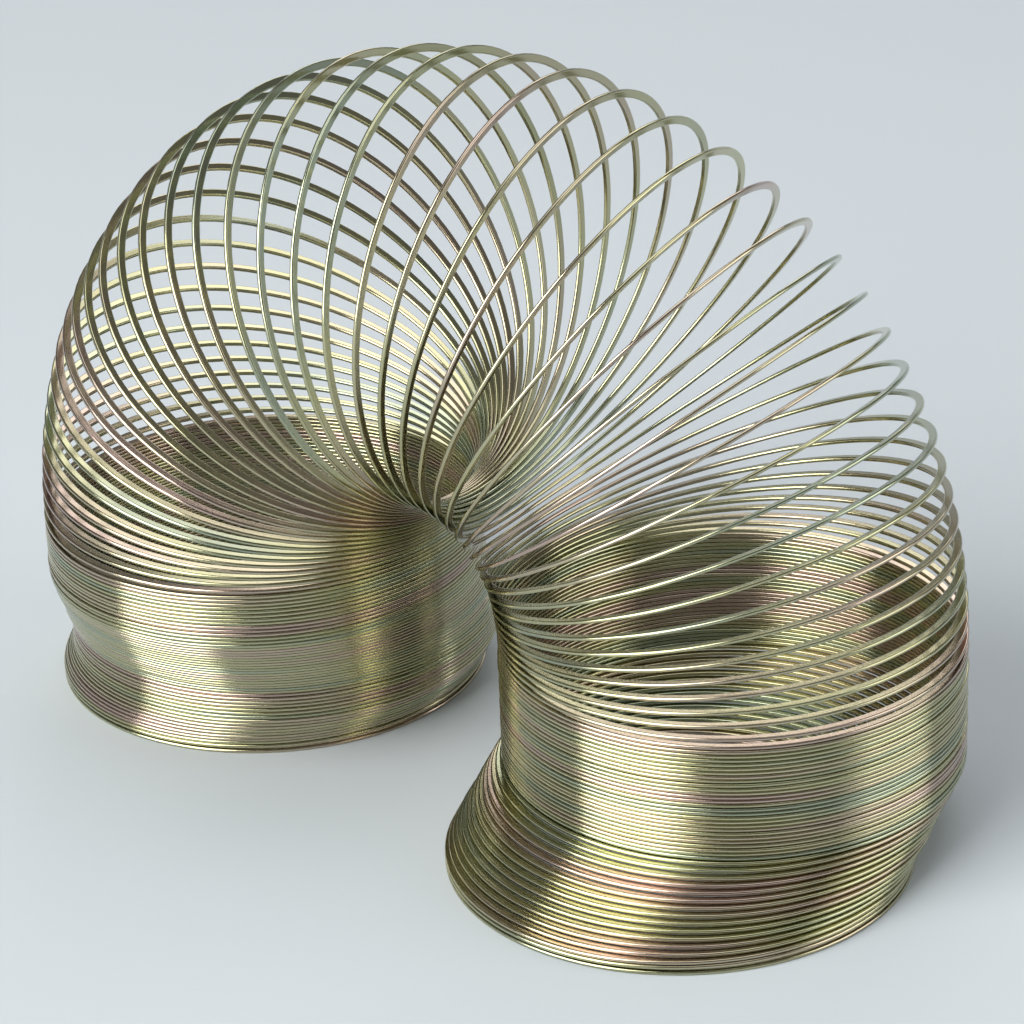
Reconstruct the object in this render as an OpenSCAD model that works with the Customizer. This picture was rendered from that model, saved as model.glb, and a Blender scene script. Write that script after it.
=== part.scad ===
// Spring coil toy, bent over into an arch that stands on both of its closed ends.
// One flat steel wire is wound into a coil. Its turns lie closed on each other in the two
// feet and fan open through the arch between them. A crimped strip holds each end turn.
// +Z is up, +X runs from the far foot to the near foot, and Y lies across the arch.
// The origin is the centre of the bottom of the bounding box.

/* [Wire] */
// Outside diameter of the coil
coil_d = 70; // [60:1:76]
// Width of the flat wire, across the ring
wire_w = 1.3; // [1.1:0.1:1.5]
// Thickness of the flat wire, along the coil
wire_t = 0.6; // [0.5:0.02:0.6]
// Spacing of the turns where the coil is closed
closed_pitch = 0.65; // [0.65:0.01:0.8]

/* [Arch] */
// Turns in the arch between the feet
arch_turns = 44; // [40:1:48]
// How much further apart the inner edges of the turns are at the widest place
pitch_swell = 0.3; // [0.2:0.01:0.5]
// Shift of that widest place towards the near foot, 1 for none
swell_shift = 1.75; // [0.8:0.05:2]
// How far the bending is gathered into the middle of the arch
bend_ease = 0.61; // [0.3:0.01:0.85]

/* [Feet] */
// Closed turns in the far foot
far_turns = 48; // [40:1:60]
// Lean of the far foot's lower part along Y
far_lean_y = 7.2; // [0:0.1:8]
// Lean of the far foot's waist along X
far_waist_x = -2.5; // [-6:0.1:4]
// Lean of the far foot's base along X
far_base_x = -5.1; // [-6:0.1:4]
// Height where the far foot's lean starts, as a share of the foot's height
far_lean_top = 0.74; // [0.52:0.02:0.9]
// Height where the far foot has its full lean, as a share of the foot's height
far_lean_bottom = 0.36; // [0.3:0.02:0.5]
// Height where the far foot starts to move from its waist to its base, as a share
far_waist_bottom = 0.2; // [0.14:0.02:0.3]
// Lean of the near foot's lower part along X
near_lean_x = -0.4; // [-4:0.1:4]
// Lean of the near foot's lower part along Y
near_lean_y = -15.4; // [-16:0.1:0]
// Height where the near foot's lean starts, as a share of the foot's height
near_lean_top = 0.36; // [0.3:0.02:0.9]
// Height where the near foot has its full lean, as a share of the foot's height
near_lean_bottom = 0.06; // [0.06:0.02:0.2]

/* [End clips] */
// Thickness of the crimped strip
clip_t = 0.2; // [0.1:0.02:0.22]
// Length of the crimped strip along the wire
clip_len = 4; // [3:0.5:6]

/* [Hidden] */
// Names
FOOT_COILS = 6;
function two_digits(n) = str(n < 10 ? "0" : "", n);
FAR_NAMES = [for (i = [1:FOOT_COILS]) str("far_foot_coil_", i)];
ARCH_NAMES = [for (i = [1:arch_turns]) str("arch_turn_", two_digits(i))];
NEAR_NAMES = [for (i = [1:FOOT_COILS]) str("near_foot_coil_", i)];

ring_facets = 72;
joint_w = 0.8;
joint_len = 1;
WIRE_COLOUR = [0.74, 0.69, 0.5];
CLIP_COLOUR = [0.6, 0.6, 0.57];

// Share of a foot's height below which its turns stand straight on their end ring
BASE_SHARE = 0.06;

// Each foot stands on a flat closed end ring. From the far foot's ring to the near foot's
// ring the wire is followed in half turns. A stop is a point of the wire's centre line
// between two half turns, [x, y, z]. Even stops are on the outside of the arch and odd
// stops on its inside. The half turns on both sides of an odd stop share its y.
ring_d = coil_d - wire_w;
floor_z = wire_t / 2;

function sums(steps, start) =
    [for (i = 0, p = start; i <= len(steps); p = i < len(steps) ? p + steps[i] : p, i = i + 1) p];

// Height of the wire n half turns from where it leaves a foot's end ring
function foot_z(n, pitch) = floor_z + (1 + n / 2) * pitch;

// Share of a foot's lean at height z
function lean_share(z, height, top, bottom) =
    min(1, max(0, (top * height - z) / ((top - bottom) * height)));

// Arch: the bend in degrees and the inner spacing at a share s of its length
arch_halves = 2 * arch_turns;
function bend_at(s) = 180 * (s - bend_ease * sin(360 * s) / (2 * PI));
function pitch_at(s) = closed_pitch + pitch_swell * pow(sin(180 * pow(s, swell_shift)), 2);
function arch_step(h) =
    let (middle = (bend_at(h / arch_halves) + bend_at((h + 1) / arch_halves)) / 2)
    pitch_at((h + 0.5) / arch_halves) / 2 * [sin(middle), cos(middle)];

far_halves = 2 * far_turns - 1;
far_h = foot_z(far_halves, closed_pitch);
inner_line = sums([for (h = [0:arch_halves - 1]) arch_step(h)], [ring_d / 2, far_h]);
function arch_stop(h) =
    let (bend = bend_at(h / arch_halves), out = h % 2 == 0 ? 0 : ring_d)
    [inner_line[h].x - out * cos(bend), 0, inner_line[h].y + out * sin(bend)];

near_h = inner_line[arch_halves].y;
near_axis_x = inner_line[arch_halves].x + ring_d / 2;
near_turns = floor((near_h - floor_z) / closed_pitch);
near_halves = 2 * near_turns - 2;
near_pitch = (near_h - floor_z) / near_turns;

// Shift of the far foot's axis at height z
function far_lean(z) =
    lean_share(z, far_h, far_lean_top, far_lean_bottom) * [far_waist_x, far_lean_y]
    + lean_share(z, far_h, far_waist_bottom, BASE_SHARE) * [far_base_x - far_waist_x, 0];

function far_stop(h) =
    let (z = foot_z(h, closed_pitch), lean = far_lean(z))
    [lean.x + (h % 2 == 0 ? -ring_d : ring_d) / 2, lean.y, z];
function near_stop(h) =
    let (z = foot_z(near_halves - h, near_pitch))
    let (lean = lean_share(z, near_h, near_lean_top, near_lean_bottom))
    [near_axis_x + lean * near_lean_x + (h % 2 == 0 ? -ring_d : ring_d) / 2, lean * near_lean_y, z];

raw_stops = concat(
    [for (h = [0:far_halves - 1]) far_stop(h)],
    [for (h = [0:arch_halves - 1]) arch_stop(h)],
    [for (h = [0:near_halves]) near_stop(h)]);

// The crimped strips stand proud of the wire at the -X side of each foot.
clip_gap = 0.02;
clip_proud = clip_gap + clip_t;
lowest_x = min([for (p = raw_stops) p.x]) - wire_w / 2 - clip_proud;
highest_x = max([for (p = raw_stops) p.x]) + wire_w / 2;
origin_x = (lowest_x + highest_x) / 2;
origin_y = (far_lean_y + near_lean_y) / 2;
stops = [for (p = raw_stops) p - [origin_x, origin_y, 0]];
last_stop = len(stops) - 1;

// The y of half turn h, rounded so that the half turns that meet share it exactly
function turn_y(h) = round(stops[2 * floor(h / 2) + 1].y * 100) / 100;

// First and last stop of each node's stretch of wire, cut at odd stops
near_start = far_halves + arch_halves;
function odd(n) = 2 * floor(n / 2) + 1;
far_cuts = [for (i = [0:FOOT_COILS]) i == 0 ? 0 : min(far_halves, odd(i * far_halves / FOOT_COILS))];
arch_cuts = [for (i = [0:arch_turns]) far_halves + 2 * i];
near_cuts = [for (i = [0:FOOT_COILS]) min(last_stop, odd(near_start + i * near_halves / FOOT_COILS))];

// Half a turn of wire between stops h and h + 1, flat in its own tilted plane
module half_turn(h) {
    a = stops[h];
    b = stops[h + 1];
    side = h % 2 == 0 ? -1 : 1;
    translate([(a.x + b.x) / 2, turn_y(h), (a.z + b.z) / 2])
        rotate([0, -atan2(b.z - a.z, b.x - a.x), 0])
            rotate_extrude(angle = side * 180, $fn = ring_facets)
                translate([norm([b.x - a.x, b.z - a.z]) / 2, 0])
                    square([wire_w, wire_t], center = true);
}

// Short straight piece at an outer stop, where a leaning foot moves along Y
module jog(h) {
    shift = turn_y(h - 1) - turn_y(h);
    if (shift > 0.001)
        translate([stops[h].x - wire_w / 2, turn_y(h), stops[h].z - wire_t / 2])
            cube([wire_w, shift, wire_t]);
}

module wire(first, last) {
    for (h = [first:last - 1])
        half_turn(h);
    for (h = [first:last - 1])
        if (h > first && h % 2 == 0)
            jog(h);
}

// Centres of the end rings, whose -X sides lie under the first and the last stop
far_ring = [stops[0].x + ring_d / 2, turn_y(0)];
near_ring = [stops[last_stop].x + ring_d / 2, turn_y(last_stop - 1)];

// Flat closed ring that a foot stands on, and its joint to the turn on it
module end_ring(ring, pitch) {
    translate([ring.x, ring.y, 0])
        rotate_extrude($fn = ring_facets)
            translate([(ring_d - wire_w) / 2, 0])
                square([wire_w, wire_t]);
    translate([ring.x - ring_d / 2 - joint_w / 2, ring.y - 1.5 * joint_len, floor_z])
        cube([joint_w, joint_len, pitch]);
}

// Strip crimped round the end ring and the turn on it, at the ring's -X side
clip_angle = clip_len / ring_d * 360 / PI;
clip_notch_angle = (clip_len + 0.6) / ring_d * 360 / PI;

// A rectangle swept along the -X side of an end ring
module side_sweep(ring, angle, width, z_low, z_high) {
    translate([ring.x, ring.y, 0])
        rotate([0, 0, 180 - angle / 2])
            rotate_extrude(angle = angle, $fn = ring_facets)
                translate([ring_d / 2 - width / 2, z_low])
                    square([width, z_high - z_low]);
}

module crimp_clip(ring, pitch) {
    top = pitch + wire_t;
    color(CLIP_COLOUR)
        difference() {
            side_sweep(ring, clip_angle, wire_w + 2 * clip_proud, 0, top);
            side_sweep(ring, clip_notch_angle, wire_w + 2 * clip_gap, clip_t, top - clip_t);
        }
}

// Room in the wire for the strip's lower and upper legs
module clip_notches(ring, pitch) {
    top = pitch + wire_t;
    side_sweep(ring, clip_notch_angle, 2 * wire_w, -clip_t, clip_t);
    side_sweep(ring, clip_notch_angle, 2 * wire_w, top - clip_t, top + 0.02);
}

module far_foot_coil(i) {
    color(WIRE_COLOUR)
        difference() {
            union() {
                wire(far_cuts[i], far_cuts[i + 1]);
                if (i == 0)
                    end_ring(far_ring, closed_pitch);
            }
            if (i == 0)
                clip_notches(far_ring, closed_pitch);
        }
}

module arch_turn(i) {
    color(WIRE_COLOUR)
        wire(arch_cuts[i], arch_cuts[i + 1]);
}

module near_foot_coil(i) {
    color(WIRE_COLOUR)
        difference() {
            union() {
                wire(near_cuts[i], near_cuts[i + 1]);
                if (i == FOOT_COILS - 1)
                    end_ring(near_ring, near_pitch);
            }
            if (i == FOOT_COILS - 1)
                clip_notches(near_ring, near_pitch);
        }
}

module far_end_clip() {
    crimp_clip(far_ring, closed_pitch);
}

module near_end_clip() {
    crimp_clip(near_ring, near_pitch);
}

for (i = [0:FOOT_COILS - 1])
    far_foot_coil(i);
for (i = [0:arch_turns - 1])
    arch_turn(i);
for (i = [0:FOOT_COILS - 1])
    near_foot_coil(i);
far_end_clip();
near_end_clip();
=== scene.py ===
"""The looks of the spring coil toy: one flat steel wire, wound into a coil and bent over into an arch."""

import math

import bpy
import numpy as np
from mathutils import Matrix, Vector


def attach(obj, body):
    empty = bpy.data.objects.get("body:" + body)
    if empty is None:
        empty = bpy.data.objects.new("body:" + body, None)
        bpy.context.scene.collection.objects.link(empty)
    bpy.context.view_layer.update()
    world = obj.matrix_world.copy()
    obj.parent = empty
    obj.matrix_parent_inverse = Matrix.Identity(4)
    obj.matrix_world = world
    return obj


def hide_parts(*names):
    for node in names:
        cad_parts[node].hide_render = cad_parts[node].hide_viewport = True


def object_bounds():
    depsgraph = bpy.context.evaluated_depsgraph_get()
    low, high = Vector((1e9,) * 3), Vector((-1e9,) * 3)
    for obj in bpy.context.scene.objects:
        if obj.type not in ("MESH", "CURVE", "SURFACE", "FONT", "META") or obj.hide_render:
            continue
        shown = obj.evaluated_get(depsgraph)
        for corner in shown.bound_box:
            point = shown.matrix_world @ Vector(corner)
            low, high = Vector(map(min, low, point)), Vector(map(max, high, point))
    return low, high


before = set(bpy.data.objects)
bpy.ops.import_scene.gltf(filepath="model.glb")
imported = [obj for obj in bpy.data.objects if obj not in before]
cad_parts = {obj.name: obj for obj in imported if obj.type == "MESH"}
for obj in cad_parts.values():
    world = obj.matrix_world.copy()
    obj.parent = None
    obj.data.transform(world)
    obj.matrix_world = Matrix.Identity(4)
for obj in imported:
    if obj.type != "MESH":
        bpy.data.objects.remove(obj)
cad_lo, cad_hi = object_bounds()
MM = 0.001

# ---------------------------------------------------------------- the wire's path, in millimetres
# The CAD part's driving dimensions: the flat wire and the coil it is wound into.
COIL_D = 70
WIRE_W = 1.3
WIRE_T = 0.6
CLOSED_PITCH = 0.65
ARCH_TURNS = 44
PITCH_SWELL = 0.3
SWELL_SHIFT = 1.75
BEND_EASE = 0.61
FAR_TURNS = 48
# Shifts of the feet's lower parts, [x, y], and the shares of a foot's height where they start and end.
FAR_WAIST = np.array((-2.5, 7.2))
FAR_BASE = np.array((-5.1, 7.2))
FAR_LEAN_FROM = 0.74
FAR_LEAN_TO = 0.36
FAR_WAIST_TO = 0.2
NEAR_BASE = np.array((-0.4, -15.4))
NEAR_LEAN_FROM = 0.36
NEAR_LEAN_TO = 0.06
BASE_SHARE = 0.06
FOOT_COILS = 6
# The crimped strips.
CLIP_T = 0.2
CLIP_LEN = 4
CLIP_GAP = 0.02

RING_D = COIL_D - WIRE_W
FLOOR_Z = WIRE_T / 2
ARCH_HALVES = 2 * ARCH_TURNS
FAR_HALVES = 2 * FAR_TURNS - 1
END_HALVES = 2  # half turns in each end ring


def foot_z(n, pitch):
    """Height of the wire n half turns from where it leaves a foot's end ring."""
    return FLOOR_Z + (1 + n / 2) * pitch


def lean_share(z, height, top, bottom):
    return min(1, max(0, (top * height - z) / ((top - bottom) * height)))


def bend_at(share):
    """Bend of the arch, in radians, at a share of its length."""
    return math.pi * (share - BEND_EASE * math.sin(2 * math.pi * share) / (2 * math.pi))


def pitch_at(share):
    return CLOSED_PITCH + PITCH_SWELL * math.sin(math.pi * share**SWELL_SHIFT) ** 2


def arch_stops(foot_height):
    """Stops of the arch, even ones on its inside, and the end of its inner line."""
    x, z = RING_D / 2, foot_height
    stops = []
    for h in range(ARCH_HALVES):
        bend = bend_at(h / ARCH_HALVES)
        out = 0 if h % 2 == 0 else RING_D
        stops.append((x - out * math.cos(bend), 0, z + out * math.sin(bend)))
        middle = (bend + bend_at((h + 1) / ARCH_HALVES)) / 2
        step = pitch_at((h + 0.5) / ARCH_HALVES) / 2
        x += step * math.sin(middle)
        z += step * math.cos(middle)
    return stops, (x, z)


def all_stops():
    """The points between half turns from one wire end to the other, and where each foot starts and ends."""
    far_height = foot_z(FAR_HALVES, CLOSED_PITCH)
    arch, (near_x, near_height) = arch_stops(far_height)
    near_turns = math.floor((near_height - FLOOR_Z) / CLOSED_PITCH)
    near_halves = 2 * near_turns - 2
    near_pitch = (near_height - FLOOR_Z) / near_turns

    def foot_stop(h, z, axis_x, lean):
        side = -RING_D / 2 if h % 2 == 0 else RING_D / 2
        return axis_x + lean[0] + side, lean[1], z

    far = []
    for h in range(-END_HALVES, FAR_HALVES):
        z = foot_z(h, CLOSED_PITCH) if h >= 0 else FLOOR_Z
        lean = lean_share(z, far_height, FAR_LEAN_FROM, FAR_LEAN_TO) * FAR_WAIST
        lean = lean + lean_share(z, far_height, FAR_WAIST_TO, BASE_SHARE) * (FAR_BASE - FAR_WAIST)
        far.append(foot_stop(h, z, 0, lean))
    near = []
    for h in range(near_halves + 1 + END_HALVES):
        z = foot_z(near_halves - h, near_pitch) if h <= near_halves else FLOOR_Z
        lean = lean_share(z, near_height, NEAR_LEAN_FROM, NEAR_LEAN_TO) * NEAR_BASE
        near.append(foot_stop(h, z, near_x + RING_D / 2, lean))
    stops = np.array(far + arch + near, dtype=float)
    edge = WIRE_W / 2
    stops[:, 0] -= (stops[:, 0].min() - edge - CLIP_GAP - CLIP_T + stops[:, 0].max() + edge) / 2
    stops[:, 1] -= (stops[:, 1].min() + stops[:, 1].max()) / 2
    return stops, near_halves


STOPS, NEAR_HALVES = all_stops()
NEAR_START = FAR_HALVES + ARCH_HALVES
LAST_STOP = NEAR_START + NEAR_HALVES

# A place on the wire is a number of half turns from where the wire leaves the far foot's end ring.
# The end rings themselves lie below 0 and above LAST_STOP.
RING_CLIMB = 0.3  # share of an end ring's last half turn in which it climbs to the next turn

# Each turn sits a little off the coil's axis, but not at the end rings.
LINE_WOBBLE = 0.1
WOBBLE_KNOTS = 200
WOBBLE_SEED = 7
WOBBLE_FADE = 4  # half turns


def stop(h):
    return STOPS[np.clip(h + END_HALVES, 0, len(STOPS) - 1)]


def ease(t):
    t = np.clip(t, 0, 1)
    return t * t * (3 - 2 * t)


def knots(count, seed, spread):
    """A smooth random curve through one value for each turn."""
    values = np.random.default_rng(seed).uniform(-spread, spread, count)

    def curve(turn):
        low = np.floor(turn).astype(int)
        share = ease(turn - low)
        return values[low % count] * (1 - share) + values[(low + 1) % count] * share

    return curve


WOBBLE_X = knots(WOBBLE_KNOTS, WOBBLE_SEED, LINE_WOBBLE)
WOBBLE_Y = knots(WOBBLE_KNOTS, WOBBLE_SEED + 1, LINE_WOBBLE)


def wire_point(place):
    """Centre line of the wire at an array of places."""
    half = np.floor(place).astype(int)
    half = np.minimum(half, LAST_STOP + END_HALVES - 1)
    share = place - half
    a, b = stop(half), stop(half + 1)
    side = np.where(half % 2 == 0, -1.0, 1.0)
    phi = share * math.pi
    across = (1 - np.cos(phi)) / 2
    climb = across.copy()
    far_end = half == -1
    near_end = half == LAST_STOP
    climb[far_end] = ease((share[far_end] - (1 - RING_CLIMB)) / RING_CLIMB)
    climb[near_end] = ease(share[near_end] / RING_CLIMB)
    chord = b - a
    radius = np.hypot(chord[:, 0], chord[:, 2]) / 2
    x = a[:, 0] + chord[:, 0] * across
    z = a[:, 2] + chord[:, 2] * climb
    y = a[:, 1] + chord[:, 1] * share + side * radius * np.sin(phi)
    turn = place / 2 + END_HALVES
    loose = ease(np.minimum(place, LAST_STOP - place) / WOBBLE_FADE)
    return np.stack([x + loose * WOBBLE_X(turn), y + loose * WOBBLE_Y(turn), z], axis=1)


def half_axis(half):
    """Direction of the coil's axis at half turn number half: the normal of that half turn's plane."""
    half = np.clip(half, -END_HALVES, LAST_STOP + END_HALVES - 1)
    chord = stop(half + 1) - stop(half)
    flip = np.where(half % 2 == 0, 1.0, -1.0)[:, None]
    flat = (half < 0) | (half >= LAST_STOP)
    axis = np.stack([-chord[:, 2], np.zeros(len(half)), chord[:, 0]], axis=1) * flip
    axis[flat, 0] = 0
    return axis / np.linalg.norm(axis, axis=1)[:, None]


def wire_axis(place):
    """Direction across the wire's thickness, turning smoothly from one half turn to the next."""
    low = np.floor(place - 0.5).astype(int)
    share = (place - 0.5 - low)[:, None]
    return half_axis(low) * (1 - share) + half_axis(low + 1) * share


# ---------------------------------------------------------------- pieces of wire
HALF_SEGMENTS = 48
TANGENT_STEP = 1e-3
PINCH_MARGIN = 0.3  # the squeezed wire's length past each end of a clip, in millimetres
PINCH_FADE = 1.2
CLIP_ZONE = 0.06  # half turns each side of a clip's middle that get CLIP_ZONE_PLACES sections
CLIP_ZONE_PLACES = 41
EDGE_ANGLES = (-90, -62, -38, -16, 16, 38, 62, 90)
EDGE_HEIGHTS = (-1, -0.95, -0.74, -0.3, 0.3, 0.74, 0.95, 1)
EDGE_DEPTHS = (0.24, 0.12, 0.04, 0, 0, 0.04, 0.12, 0.24)


def section():
    """The rolled wire's section with bulged edges: points and normals, [across its width, its thickness].

    From its lower to its upper corner, each edge is given by the direction of its surface in degrees,
    its height as a share of half the thickness, and its depth below the widest place in millimetres.
    """
    points, normals = [], []
    for side in (1, -1):
        for angle, height, depth in zip(EDGE_ANGLES, EDGE_HEIGHTS, EDGE_DEPTHS):
            normals.append((side * math.cos(math.radians(angle)), side * math.sin(math.radians(angle))))
            points.append((side * (WIRE_W / 2 - depth), side * height * WIRE_T / 2))
    return np.array(points), np.array(normals)


SECTION, SECTION_NORMALS = section()
SIDES = len(SECTION)


def pinch(place):
    """How far the wire is squeezed by a crimp clip, from 0 to 1, and whether that moves it up or down."""
    half_turn_length = math.pi * RING_D / 2
    reach = (CLIP_LEN / 2 + PINCH_MARGIN) / half_turn_length
    fade = PINCH_FADE / half_turn_length
    amount = np.zeros(len(place))
    lift = np.zeros(len(place))
    for centre, way in ((-END_HALVES, 1), (0, -1), (LAST_STOP, -1), (LAST_STOP + END_HALVES, 1)):
        here = 1 - ease((np.abs(place - centre) - reach) / fade)
        amount = np.maximum(amount, here)
        lift += here * way
    return amount, lift


def places(first, last):
    """Places to put sections at, closer together near the crimp clips."""
    spots = set(np.round(np.linspace(first, last, int(round((last - first) * HALF_SEGMENTS)) + 1), 6))
    for centre in (-END_HALVES, 0, LAST_STOP, LAST_STOP + END_HALVES):
        for spot in np.round(np.linspace(centre - CLIP_ZONE, centre + CLIP_ZONE, CLIP_ZONE_PLACES), 6):
            if first <= spot <= last:
                spots.add(spot)
    return np.array(sorted(spots))


def wire_mesh(name, first, last):
    place = places(first, last)
    centre = wire_point(place)
    ends = np.stack([place - TANGENT_STEP, place + TANGENT_STEP])
    ends = np.clip(ends, -END_HALVES, LAST_STOP + END_HALVES)
    tangent = wire_point(ends[1]) - wire_point(ends[0])
    tangent /= np.linalg.norm(tangent, axis=1)[:, None]
    width = np.cross(tangent, wire_axis(place))
    width /= np.linalg.norm(width, axis=1)[:, None]
    axis = np.cross(width, tangent)
    amount, lift = pinch(place)
    thin = 1 - amount * CLIP_T / WIRE_T
    centre[:, 2] += lift * CLIP_T / 2

    rings = len(place)
    across = SECTION[None, :, 0, None] * width[:, None, :]
    through = SECTION[None, :, 1, None] * (axis * thin[:, None])[:, None, :]
    points = (centre[:, None, :] + across + through).reshape(-1, 3) * MM
    normals = SECTION_NORMALS[None, :, 0, None] * width[:, None, :]
    normals = (normals + SECTION_NORMALS[None, :, 1, None] * axis[:, None, :]).reshape(-1, 3)

    ring = np.arange(rings - 1)[:, None] * SIDES
    k = np.arange(SIDES)[None, :]
    after = (k + 1) % SIDES
    quads = np.stack([ring + k, ring + SIDES + k, ring + SIDES + after, ring + after], axis=2)
    quads = quads.reshape(-1, 4)
    start_cap = list(range(SIDES))
    end_cap = [(rings - 1) * SIDES + i for i in reversed(range(SIDES))]
    mesh = bpy.data.meshes.new(name)
    mesh.from_pydata(points.tolist(), [], quads.tolist() + [start_cap, end_cap])
    mesh.polygons.foreach_set("use_smooth", [True] * len(mesh.polygons))
    corner = normals[quads.reshape(-1)]
    caps = np.concatenate([np.repeat(-tangent[:1], SIDES, 0), np.repeat(tangent[-1:], SIDES, 0)])
    mesh.normals_split_custom_set(np.concatenate([corner, caps]).tolist())

    wind = mesh.attributes.new("wind", "FLOAT_VECTOR", "POINT")
    turn = np.repeat(place / 2 + END_HALVES, SIDES)
    along = turn * math.pi * RING_D * MM
    around = np.tile(np.arange(SIDES) / SIDES, rings)
    wind.data.foreach_set("vector", np.stack([turn, along, around], axis=1).reshape(-1))
    sheet = mesh.attributes.new("sheet", "FLOAT_VECTOR", "POINT")
    angle = turn * 2 * math.pi
    sheet.data.foreach_set("vector", np.stack([np.cos(angle), np.sin(angle), turn], axis=1).reshape(-1))
    mesh.update()
    return mesh


def add_piece(name, mesh, material, body, node):
    piece = bpy.data.objects.new(name, mesh)
    bpy.context.scene.collection.objects.link(piece)
    mesh.materials.append(material)
    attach(piece, body)
    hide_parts(node)
    return piece


def odd(n):
    return 2 * math.floor(n / 2) + 1


def foot_cuts(start, halves, last):
    return [min(last, odd(start + i * halves / FOOT_COILS)) for i in range(FOOT_COILS + 1)]


def add_wire(material):
    far = foot_cuts(0, FAR_HALVES, FAR_HALVES)
    far[0] = -END_HALVES
    near = foot_cuts(NEAR_START, NEAR_HALVES, LAST_STOP)
    near[-1] = LAST_STOP + END_HALVES
    for foot, cuts in (("far", far), ("near", near)):
        for i in range(FOOT_COILS):
            mesh = wire_mesh(f"{foot}_foot_wire_{i + 1}", cuts[i], cuts[i + 1])
            body = f"{foot}_foot_{i + 1}"
            add_piece(mesh.name, mesh, material, body, f"{foot}_foot_coil_{i + 1}")
    for i in range(ARCH_TURNS):
        start = FAR_HALVES + 2 * i
        mesh = wire_mesh(f"arch_wire_{i + 1:02d}", start, start + 2)
        add_piece(mesh.name, mesh, material, f"arch_{i + 1:02d}", f"arch_turn_{i + 1:02d}")


# ---------------------------------------------------------------- crimped strips
CLIP_CORNER = 0.2
CLIP_INSIDE_CORNER = 0.05
CLIP_SEAM = 0.14
CLIP_EDGE = 0.06
CLIP_STEPS = 61
DENT_DEPTH = 0.07
DENT_APART = 2.0
DENT_SIZE = 0.45
FACE_POINTS = 9
CORNER_POINTS = 5
SHARP_ANGLE = 50


def band_outline(half_width, low, high, corner):
    """Round a rolled strip's section, from above the seam in its inner side to below it: [outward, up]."""
    middle = (low + high) / 2
    points = [(-half_width, middle + CLIP_SEAM / 2)]
    for out, up, start in ((-1, 1, 180), (1, 1, 90), (1, -1, 0), (-1, -1, -90)):
        centre = (out * (half_width - corner), (high - corner) if up > 0 else (low + corner))
        if (out, up) == (1, -1):
            for height in np.linspace(high - corner, low + corner, FACE_POINTS)[1:-1]:
                points.append((half_width, height))
        for turned in np.linspace(0, -90, CORNER_POINTS):
            angle = math.radians(start + turned)
            points.append((centre[0] + corner * math.cos(angle), centre[1] + corner * math.sin(angle)))
    points.append((-half_width, middle - CLIP_SEAM / 2))
    return np.array(points)


def clip_mesh(name, centre_x, centre_y, pitch):
    top = pitch + WIRE_T
    half_width = WIRE_W / 2 + CLIP_GAP + CLIP_T
    outside = band_outline(half_width, 0, top, CLIP_CORNER)
    inside = band_outline(WIRE_W / 2 + CLIP_GAP, CLIP_T, top - CLIP_T, CLIP_INSIDE_CORNER)
    middle = (outside + inside) / 2
    face = np.isclose(outside[:, 0], half_width)
    rings = []
    for along in np.linspace(-CLIP_LEN / 2, CLIP_LEN / 2, CLIP_STEPS):
        from_end = CLIP_LEN / 2 - abs(along)
        worn = 0.5 * (1 - math.sqrt(1 - (1 - min(1, from_end / CLIP_EDGE)) ** 2))
        outer = outside + (middle - outside) * worn
        inner = inside + (middle - inside) * worn
        near_dent = math.exp(-(((abs(along) - DENT_APART / 2) / DENT_SIZE) ** 2))
        height = np.exp(-(((outer[:, 1] - top / 2) / DENT_SIZE) ** 2))
        outer[:, 0] -= np.where(face, DENT_DEPTH * near_dent * height, 0)
        angle = math.pi + along / (RING_D / 2)
        profile = np.concatenate([outer, inner[::-1]])
        radius = RING_D / 2 + profile[:, 0]
        x = centre_x + radius * math.cos(angle)
        y = centre_y + radius * math.sin(angle)
        rings.append(np.stack([x, y, profile[:, 1]], axis=1))
    count = len(outside) * 2
    quads = []
    for i in range(CLIP_STEPS - 1):
        for k in range(count):
            after = (k + 1) % count
            quads.append((i * count + k, i * count + after, (i + 1) * count + after, (i + 1) * count + k))
    last = (CLIP_STEPS - 1) * count
    for k in range(len(outside) - 1):
        start_cap = (k, count - 1 - k, count - 2 - k, k + 1)
        quads.append(start_cap)
        quads.append(tuple(last + i for i in reversed(start_cap)))
    mesh = bpy.data.meshes.new(name)
    mesh.from_pydata((np.concatenate(rings) * MM).tolist(), [], quads)
    mesh.polygons.foreach_set("use_smooth", [True] * len(mesh.polygons))
    mesh.set_sharp_from_angle(angle=math.radians(SHARP_ANGLE))
    mesh.update()
    return mesh


def add_clips(material):
    far_pitch = stop(0)[2] - FLOOR_Z
    near_pitch = stop(LAST_STOP)[2] - FLOOR_Z
    for foot, first, pitch, body in (
        ("far", -END_HALVES, far_pitch, "far_foot_1"),
        ("near", LAST_STOP + END_HALVES - 1, near_pitch, f"near_foot_{FOOT_COILS}"),
    ):
        ends = stop(first), stop(first + 1)
        mesh = clip_mesh(f"{foot}_clip_strip", (ends[0][0] + ends[1][0]) / 2, ends[0][1], pitch)
        add_piece(mesh.name, mesh, material, body, f"{foot}_end_clip")


# ---------------------------------------------------------------- materials
# The wire's casts: rose, champagne, yellow green and grey green.
WIRE_TINTS = [
    (0.34, (0.49, 0.385, 0.325)),
    (0.45, (0.48, 0.435, 0.30)),
    (0.54, (0.46, 0.45, 0.27)),
    (0.64, (0.37, 0.405, 0.295)),
]
CLIP_TINTS = [(0.3, (0.42, 0.42, 0.40)), (0.7, (0.64, 0.64, 0.61))]
FLOOR_TINTS = [(0.3, (0.495, 0.545, 0.590)), (0.7, (0.510, 0.560, 0.600))]
ROOM_TINTS = [(0.0, (0.165, 0.163, 0.157)), (1.0, (0.56, 0.61, 0.66))]


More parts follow.
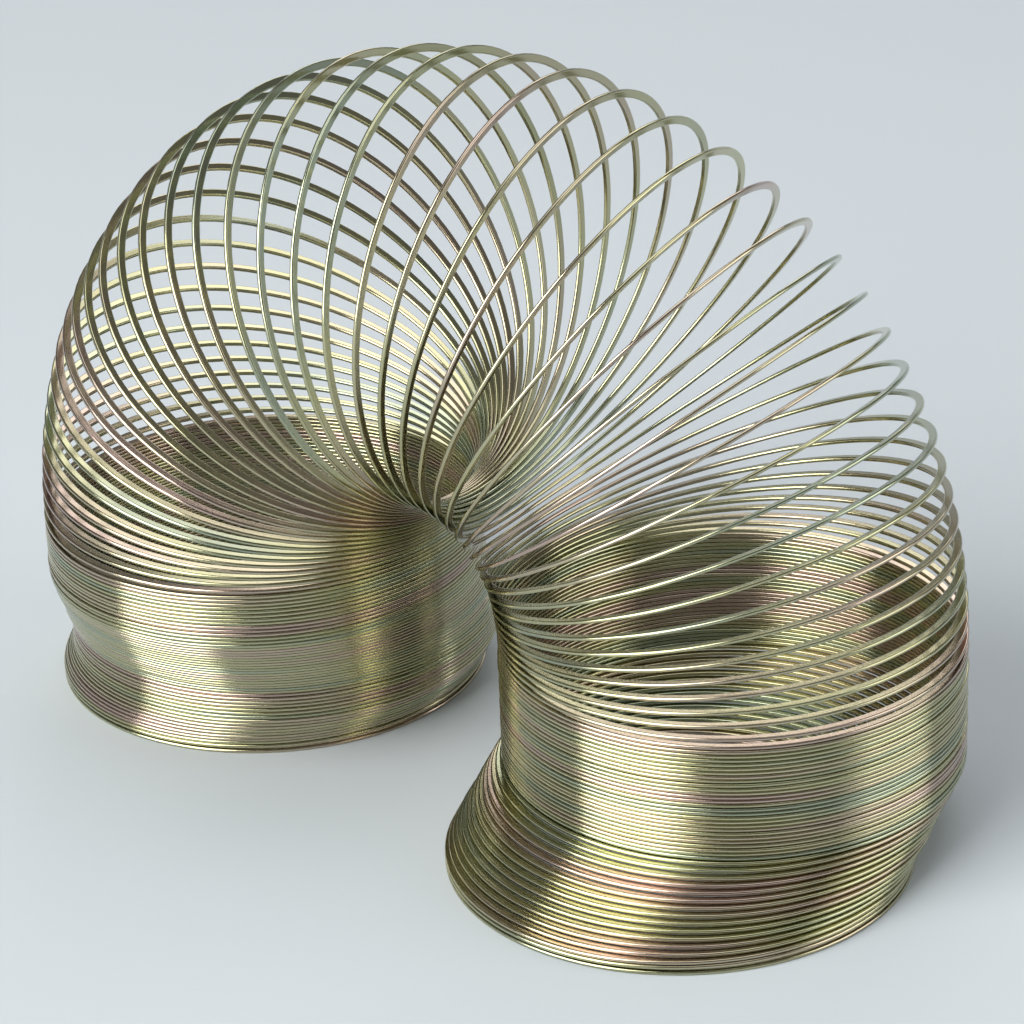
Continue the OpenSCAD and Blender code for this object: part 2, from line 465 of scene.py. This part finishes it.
def shader_node(tree, kind, inputs=None, **settings):
    made = tree.nodes.new(kind)
    for name, value in settings.items():
        setattr(made, name, value)
    for name, value in (inputs or {}).items():
        if isinstance(value, bpy.types.NodeSocket):
            tree.links.new(value, made.inputs[name])
        else:
            made.inputs[name].default_value = value
    return made


def ramp(tree, factor, stops):
    made = shader_node(tree, "ShaderNodeValToRGB", {"Fac": factor})
    elements = made.color_ramp.elements
    while len(elements) < len(stops):
        elements.new(1)
    for element, (position, colour) in zip(elements, stops):
        element.position = position
        element.color = (*colour, 1)
    return made.outputs["Color"]


def noise_range(tree, value, low, high):
    """Maps the middle part of a noise value's range to low and high."""
    ends = {"Value": value, "From Min": 0.3, "From Max": 0.7, "To Min": low, "To Max": high}
    return shader_node(tree, "ShaderNodeMapRange", ends).outputs["Result"]


def scaled(tree, vector, by):
    """A vector times another, part by part."""
    made = shader_node(tree, "ShaderNodeVectorMath", {0: vector, 1: by}, operation="MULTIPLY")
    return made.outputs["Vector"]


def noise(tree, dimensions, scale, detail=2.0, roughness=0.5, **inputs):
    made = shader_node(tree, "ShaderNodeTexNoise", noise_dimensions=dimensions)
    made.inputs["Scale"].default_value = scale
    made.inputs["Detail"].default_value = detail
    made.inputs["Roughness"].default_value = roughness
    for name, socket in inputs.items():
        tree.links.new(socket, made.inputs[name])
    return made.outputs["Fac"]


def blank_material(name):
    material = bpy.data.materials.new(name)
    material.use_nodes = True
    tree = material.node_tree
    return material, tree, tree.nodes["Principled BSDF"]


def spring_wire_material():
    """Rolled steel wire with a champagne cast that drifts from turn to turn, and scratches along it."""
    material, tree, shader = blank_material("spring_wire")
    shader.inputs["Metallic"].default_value = 1.0
    wind = shader_node(tree, "ShaderNodeAttribute", attribute_name="wind").outputs["Vector"]
    sheet = shader_node(tree, "ShaderNodeAttribute", attribute_name="sheet").outputs["Vector"]
    turn = shader_node(tree, "ShaderNodeSeparateXYZ", {"Vector": wind}).outputs["X"]
    drift = scaled(tree, sheet, (0.55, 0.55, 0.30))
    cloud = noise(tree, "3D", 1.0, detail=2.0, roughness=0.5, Vector=drift)
    tint = ramp(tree, cloud, WIRE_TINTS)
    line = noise(tree, "1D", 1.3, detail=2.0, roughness=0.6, W=turn)
    colour = scaled(tree, tint, noise_range(tree, line, 0.90, 1.06))
    tree.links.new(colour, shader.inputs["Base Color"])
    tree.links.new(noise_range(tree, line, 0.17, 0.10), shader.inputs["Roughness"])
    grain = noise(tree, "3D", 1.0, detail=3.0, Vector=scaled(tree, wind, (0.0, 60.0, 40.0)))
    bump = shader_node(tree, "ShaderNodeBump", {"Strength": 0.2, "Distance": 0.00003, "Height": grain})
    tree.links.new(bump.outputs["Normal"], shader.inputs["Normal"])
    return material


def clip_steel_material():
    """Plain bright strip, rubbed grey at the crimp."""
    material, tree, shader = blank_material("clip_steel")
    shader.inputs["Metallic"].default_value = 1.0
    place = shader_node(tree, "ShaderNodeTexCoord").outputs["Object"]
    cloud = noise(tree, "3D", 900.0, detail=4.0, Vector=place)
    tree.links.new(ramp(tree, cloud, CLIP_TINTS), shader.inputs["Base Color"])
    tree.links.new(noise_range(tree, cloud, 0.45, 0.28), shader.inputs["Roughness"])
    bump = shader_node(tree, "ShaderNodeBump", {"Strength": 0.3, "Distance": 0.00005, "Height": cloud})
    tree.links.new(bump.outputs["Normal"], shader.inputs["Normal"])
    return material


# ---------------------------------------------------------------- floor, camera, light
CAMERA_AZIMUTH = 33.9
CAMERA_ELEVATION = 25.06
CAMERA_DISTANCE = 0.570
CAMERA_LENS = 131.2
CAMERA_ROLL = -2.08
AIM_FROM_CENTRE = Vector((0.0072, 0.0041, -0.0155))
CENTRE = (cad_lo + cad_hi) / 2
FLOOR_FADE = (0.8, 1.8)  # metres from the middle between which the floor fades out

# Each softbox: azimuth from the camera's and elevation in degrees, distance, width, height, radiance, colour.
SOFTBOXES = {
    "key_light": (-54, 29, 1.6, 1.35, 1.9, 6.0, (1.0, 0.98, 0.94)),
    "side_light": (78, 24, 1.6, 1.1, 1.2, 2.1, (1.0, 0.99, 0.95)),
    "top_light": (172, 84, 1.8, 1.6, 1.5, 1.6, (0.97, 0.98, 1.0)),
    "back_light": (168, 33, 1.8, 1.0, 0.7, 2.2, (1.0, 0.97, 0.95)),
}


def around(azimuth, elevation, distance):
    """A place seen from the object's centre: azimuth 0 is towards -Y and 90 towards +X."""
    a, e = math.radians(azimuth), math.radians(elevation)
    return Vector((math.sin(a) * math.cos(e), -math.cos(a) * math.cos(e), math.sin(e))) * distance


def aim(obj, target, roll=0.0):
    """Turns a camera or a light at its place to look at target."""
    ahead = (target - obj.location).normalized()
    right = ahead.cross(Vector((0, 0, 1))).normalized()
    up = right.cross(ahead)
    turned = math.radians(roll)
    right, up = (
        right * math.cos(turned) + up * math.sin(turned),
        up * math.cos(turned) - right * math.sin(turned),
    )
    obj.rotation_euler = Matrix((right, up, -ahead)).transposed().to_euler()


def add_camera():
    data = bpy.data.cameras.new("camera")
    data.lens = CAMERA_LENS
    data.clip_start = 0.01
    data.clip_end = 50
    camera = bpy.data.objects.new("camera", data)
    bpy.context.scene.collection.objects.link(camera)
    target = CENTRE + AIM_FROM_CENTRE
    camera.location = target + around(CAMERA_AZIMUTH, CAMERA_ELEVATION, CAMERA_DISTANCE)
    aim(camera, target, CAMERA_ROLL)
    bpy.context.scene.camera = camera


def add_softbox(name, from_camera, elevation, distance, width, height, radiance, colour):
    """A rectangular light whose azimuth is counted from the camera's, positive to its right."""
    data = bpy.data.lights.new(name, "AREA")
    data.shape = "RECTANGLE"
    data.size = width
    data.size_y = height
    data.energy = radiance * width * height * math.pi
    data.color = colour
    light = bpy.data.objects.new(name, data)
    bpy.context.scene.collection.objects.link(light)
    light.location = CENTRE + around(CAMERA_AZIMUTH + from_camera, elevation, distance)
    aim(light, CENTRE)


def add_floor():
    """A pale floor that fades into the room where the lights no longer reach it."""
    bpy.ops.mesh.primitive_plane_add(size=2 * FLOOR_FADE[1], location=(0, 0, 0))
    floor = bpy.context.object
    floor.name = "floor"
    material, tree, shader = blank_material("floor")
    place = shader_node(tree, "ShaderNodeTexCoord").outputs["Object"]
    cloud = noise(tree, "3D", 3.0, detail=2.0, Vector=place)
    tree.links.new(ramp(tree, cloud, FLOOR_TINTS), shader.inputs["Base Color"])
    shader.inputs["Roughness"].default_value = 0.6
    shader.inputs["Specular IOR Level"].default_value = 0.2
    away = shader_node(tree, "ShaderNodeVectorMath", {0: place}, operation="LENGTH").outputs["Value"]
    fade = shader_node(
        tree,
        "ShaderNodeMapRange",
        {"Value": away, "From Min": FLOOR_FADE[0], "From Max": FLOOR_FADE[1]},
        interpolation_type="SMOOTHSTEP",
    )
    room = shader_node(tree, "ShaderNodeBsdfTransparent").outputs["BSDF"]
    faded = {0: fade.outputs["Result"], 1: shader.outputs["BSDF"], 2: room}
    mixed = shader_node(tree, "ShaderNodeMixShader", faded)
    tree.links.new(mixed.outputs["Shader"], tree.nodes["Material Output"].inputs["Surface"])
    floor.data.materials.append(material)


def add_world():
    """A room that is pale low down and dark higher up."""
    world = bpy.data.worlds.new("studio")
    bpy.context.scene.world = world
    world.use_nodes = True
    tree = world.node_tree
    place = shader_node(tree, "ShaderNodeTexCoord").outputs["Generated"]
    height = shader_node(tree, "ShaderNodeSeparateXYZ", {"Vector": place}).outputs["Z"]
    low = shader_node(tree, "ShaderNodeMapRange", {"Value": height, "From Min": 0.30, "From Max": 0.12})
    colour = ramp(tree, low.outputs["Result"], ROOM_TINTS)
    tree.links.new(colour, tree.nodes["Background"].inputs["Color"])


bpy.context.scene.view_settings.view_transform = "Standard"
add_camera()
add_floor()
add_world()
for light_name, setting in SOFTBOXES.items():
    add_softbox(light_name, *setting)

add_wire(spring_wire_material())
add_clips(clip_steel_material())
